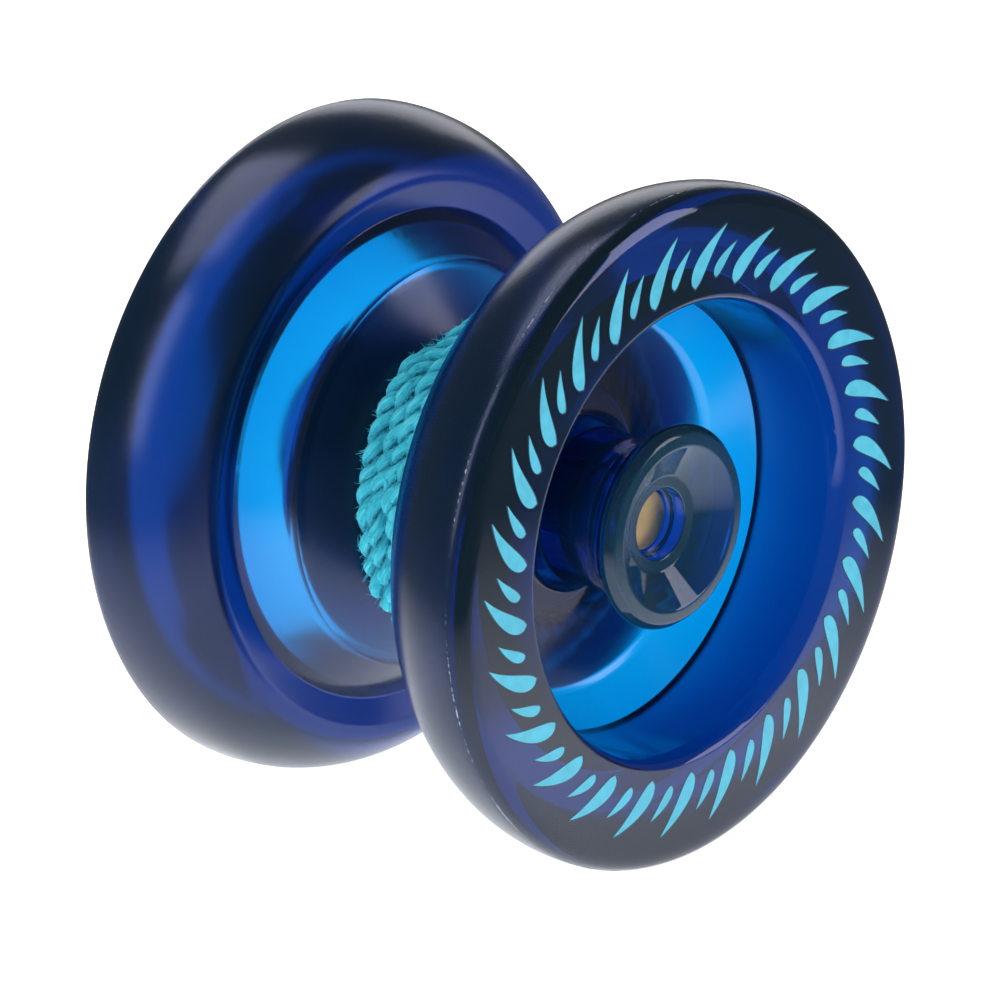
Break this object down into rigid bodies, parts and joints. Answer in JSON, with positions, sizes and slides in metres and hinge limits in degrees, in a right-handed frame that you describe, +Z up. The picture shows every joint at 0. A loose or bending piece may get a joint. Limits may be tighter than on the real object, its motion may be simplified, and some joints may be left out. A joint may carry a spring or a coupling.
{
  "type": "yo-yo",
  "caption": "Take-apart ball-bearing yo-yo with two translucent blue cupped halves on a threaded axle, brass inserts in the hub posts and string wound in the gap.",
  "frame": {"origin": "middle of the string gap on the spin axis, which is also the centre of the bounding box", "axes": "+Y along the spin axis towards half B, +Z up, +X across; half A faces -Y"},
  "size_m": [0.0556, 0.0406, 0.0556],
  "materials": {
    "blue_plastic": "translucent polished blue polycarbonate",
    "brass": "satin turned brass",
    "aluminium": "satin turned",
    "silicone": "soft matte",
    "steel": "satin",
    "polished_steel": "ground and polished",
    "cord": "twisted polyester cord, teal"
  },
  "bodies": {
    "half_a": {"half_a_body": "blue_plastic", "threaded_insert_a": "brass", "bearing_spacer_a": "aluminium", "response_pad_a": "silicone", "axle_stud": "steel", "bearing_inner_race": "polished_steel"},
    "string_line": {"bearing_outer_race": "polished_steel", "bearing_shield_a": "steel", "bearing_shield_b": "steel", "shield_clip_a": "steel", "shield_clip_b": "steel", "string_winding": "cord"},
    "ball_set": {"bearing_cage": "steel", "ball_01": "polished_steel", "ball_02": "polished_steel", "ball_03": "polished_steel", "ball_04": "polished_steel", "ball_05": "polished_steel", "ball_06": "polished_steel", "ball_07": "polished_steel", "ball_08": "polished_steel", "ball_09": "polished_steel", "ball_10": "polished_steel"},
    "spacer_b": {"bearing_spacer_b": "aluminium"},
    "half_b": {"half_b_body": "blue_plastic", "threaded_insert_b": "brass", "response_pad_b": "silicone"}
  },
  "joints": [
    {"name": "string_spin", "type": "hinge", "parent": "half_a", "child": "string_line", "pos_m": [0, 0, 0], "axis": [0, 1, 0], "continuous": true},
    {"name": "ball_orbit", "type": "hinge", "parent": "half_a", "child": "ball_set", "pos_m": [0, 0, 0], "axis": [0, 1, 0], "continuous": true},
    {"name": "half_b_back_off", "type": "slide", "parent": "half_a", "child": "spacer_b", "axis": [0, 1, 0], "range_m": [0, 0.00631]},
    {"name": "half_b_unscrew", "type": "hinge", "parent": "spacer_b", "child": "half_b", "pos_m": [0, 0, 0], "axis": [0, 1, 0], "range_deg": [0, 3240]}
  ],
  "couplings": [
    {"joint": "ball_orbit", "follows": "string_spin", "ratio": 0.58336},
    {"joint": "half_b_back_off", "follows": "half_b_unscrew", "m_per_rad": 0.00011141}
  ]
}
